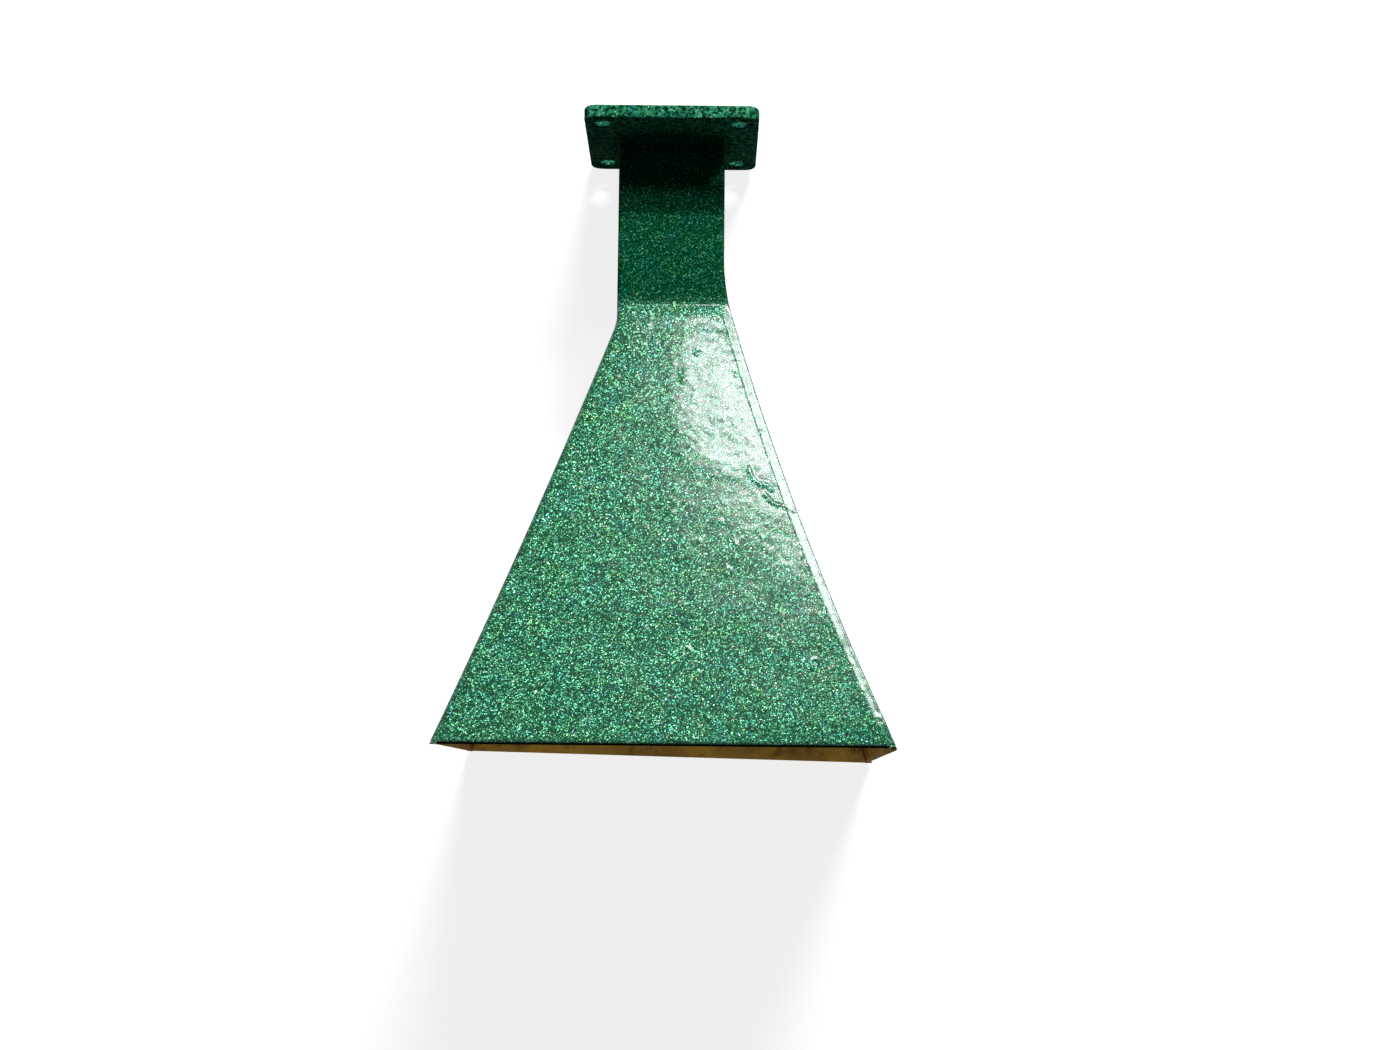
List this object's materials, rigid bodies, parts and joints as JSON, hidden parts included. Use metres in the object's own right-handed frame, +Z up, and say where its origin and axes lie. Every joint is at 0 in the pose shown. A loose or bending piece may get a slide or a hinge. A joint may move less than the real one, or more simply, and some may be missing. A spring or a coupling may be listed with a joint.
{
  "type": "horn antenna",
  "caption": "Pyramidal horn antenna of brazed sheet brass on a short rectangular waveguide with a square flange, outside enamelled green.",
  "frame": {"origin": "centre of the waveguide port in the plane of the flange's mating face", "axes": "+Y out of the mating face and away from the mouth, X along the broad wall of the waveguide, +Z up across it; the horn looks along -Y"},
  "size_m": [0.1031, 0.1525, 0.0776],
  "materials": {
    "enamelled_brass": "glossy green enamel with fine metallic flakes outside, bare brass inside",
    "braze_metal": "brazing brass, enamelled over outside and bare inside"
  },
  "bodies": {
    "root": {"flange": "enamelled_brass", "waveguide_tube": "enamelled_brass", "horn_top_wall": "enamelled_brass", "horn_bottom_wall": "enamelled_brass", "horn_left_wall": "enamelled_brass", "horn_right_wall": "enamelled_brass", "flange_braze_fillet": "braze_metal", "seam_braze_top_left": "braze_metal", "seam_braze_top_right": "braze_metal", "seam_braze_bottom_left": "braze_metal", "seam_braze_bottom_right": "braze_metal"}
  },
  "joints": []
}
